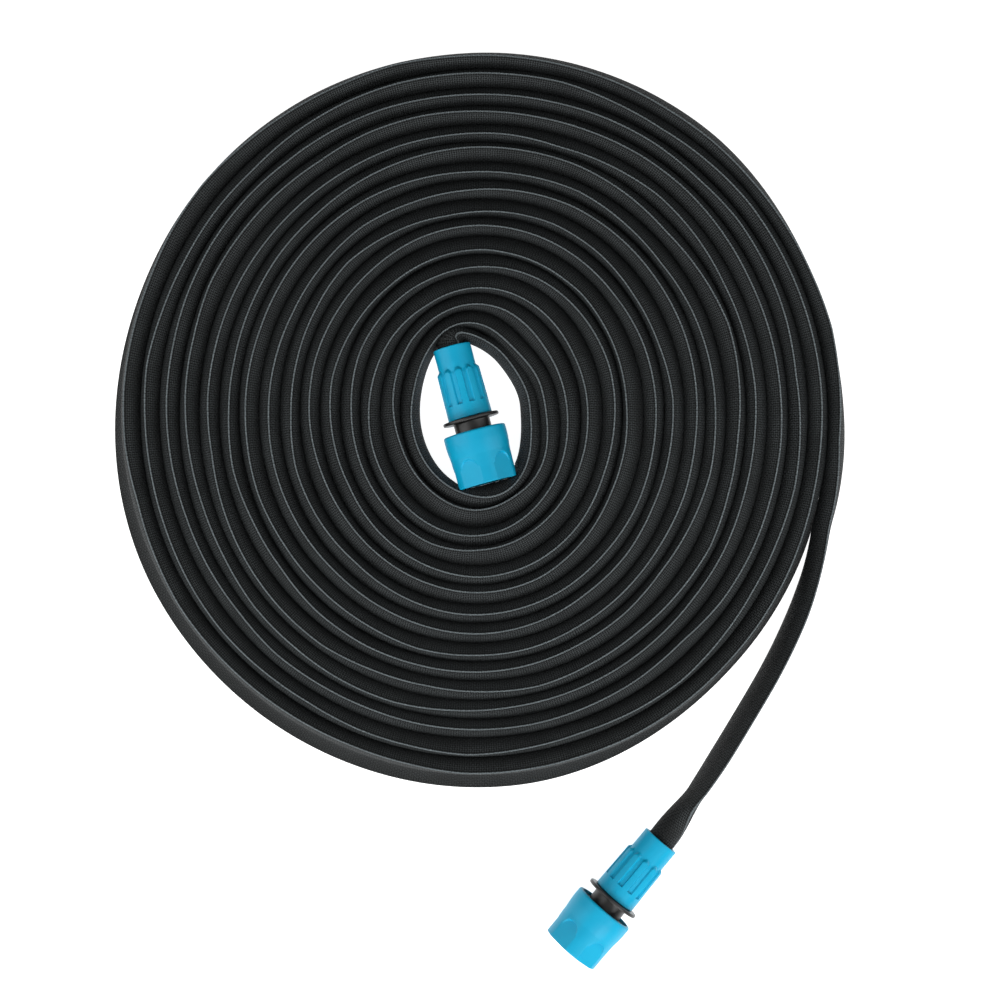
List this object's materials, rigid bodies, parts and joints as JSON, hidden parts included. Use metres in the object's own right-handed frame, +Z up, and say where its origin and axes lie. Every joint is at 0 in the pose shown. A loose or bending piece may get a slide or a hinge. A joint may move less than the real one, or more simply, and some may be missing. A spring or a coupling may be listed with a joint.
{
  "type": "soaker hose",
  "caption": "Flat woven soaker hose wound on edge into a flat coil, with a blue quick connector on each end: sliding locking collar, fluted clamp nut, water stop in the inner one.",
  "frame": {"origin": "on the floor, under the middle of the whole object's box", "axes": "+Z up, out of the coil's flat side; +Y away from the outer connector, along the longest extent; +X to the side where the free end leaves the coil"},
  "size_m": [0.39, 0.4915, 0.0344],
  "materials": {
    "woven_hose": "matt black woven polyester with a paler woven edge",
    "blue_plastic": "satin moulded plastic",
    "black_plastic": "satin moulded plastic",
    "white_plastic": "natural acetal",
    "seal_rubber": "smooth black rubber",
    "spring_steel": "drawn stainless wire"
  },
  "bodies": {
    "hose": {"hose_coil": "woven_hose", "hose_free_end": "woven_hose", "hose_inner_end": "woven_hose", "outer_hose_cuff": "woven_hose", "inner_hose_cuff": "woven_hose", "outer_body": "black_plastic", "inner_body": "black_plastic", "outer_claw_ring": "white_plastic", "inner_claw_ring": "white_plastic", "outer_socket_seal": "seal_rubber", "inner_socket_seal": "seal_rubber", "inner_valve_seat": "black_plastic", "inner_valve_spring": "spring_steel"},
    "outer_collar": {"outer_collar": "blue_plastic"},
    "inner_collar": {"inner_collar": "blue_plastic"},
    "outer_clamp": {"outer_clamp_ring": "white_plastic"},
    "outer_nut": {"outer_nut": "blue_plastic"},
    "inner_clamp": {"inner_clamp_ring": "white_plastic"},
    "inner_nut": {"inner_nut": "blue_plastic"},
    "valve": {"inner_valve_piston": "white_plastic", "inner_valve_seal": "seal_rubber"}
  },
  "joints": [
    {"name": "outer_collar_slide", "type": "slide", "parent": "hose", "child": "outer_collar", "axis": [0.6428, 0.766, 0], "range_m": [0, 0.003], "stiffness_N_per_m": 600, "springref_m": -0.002},
    {"name": "outer_clamp_slide", "type": "slide", "parent": "hose", "child": "outer_clamp", "axis": [0.6428, 0.766, 0], "range_m": [0, 0.00374]},
    {"name": "outer_nut_turn", "type": "hinge", "parent": "outer_clamp", "child": "outer_nut", "pos_m": [0.08174, -0.19312, 0.0174], "axis": [0.6428, 0.766, 0], "range_deg": [0, 540]},
    {"name": "inner_collar_slide", "type": "slide", "parent": "hose", "child": "inner_collar", "axis": [-0.2588, 0.9659, 0], "range_m": [0, 0.003], "stiffness_N_per_m": 600, "springref_m": -0.002},
    {"name": "inner_clamp_slide", "type": "slide", "parent": "hose", "child": "inner_clamp", "axis": [-0.2588, 0.9659, 0], "range_m": [0, 0.00187]},
    {"name": "inner_nut_turn", "type": "hinge", "parent": "inner_clamp", "child": "inner_nut", "pos_m": [-0.01222, 0.06678, 0.0174], "axis": [-0.2588, 0.9659, 0], "range_deg": [0, 270]},
    {"name": "valve_slide", "type": "slide", "parent": "hose", "child": "valve", "axis": [-0.2588, 0.9659, 0], "range_m": [0, 0.0035], "stiffness_N_per_m": 900, "springref_m": -0.002, "deforming": ["inner_valve_spring"]}
  ],
  "couplings": [
    {"joint": "outer_nut_turn", "follows": "outer_clamp_slide", "rad_per_m": 2513.3},
    {"joint": "inner_nut_turn", "follows": "inner_clamp_slide", "rad_per_m": 2513.3}
  ]
}
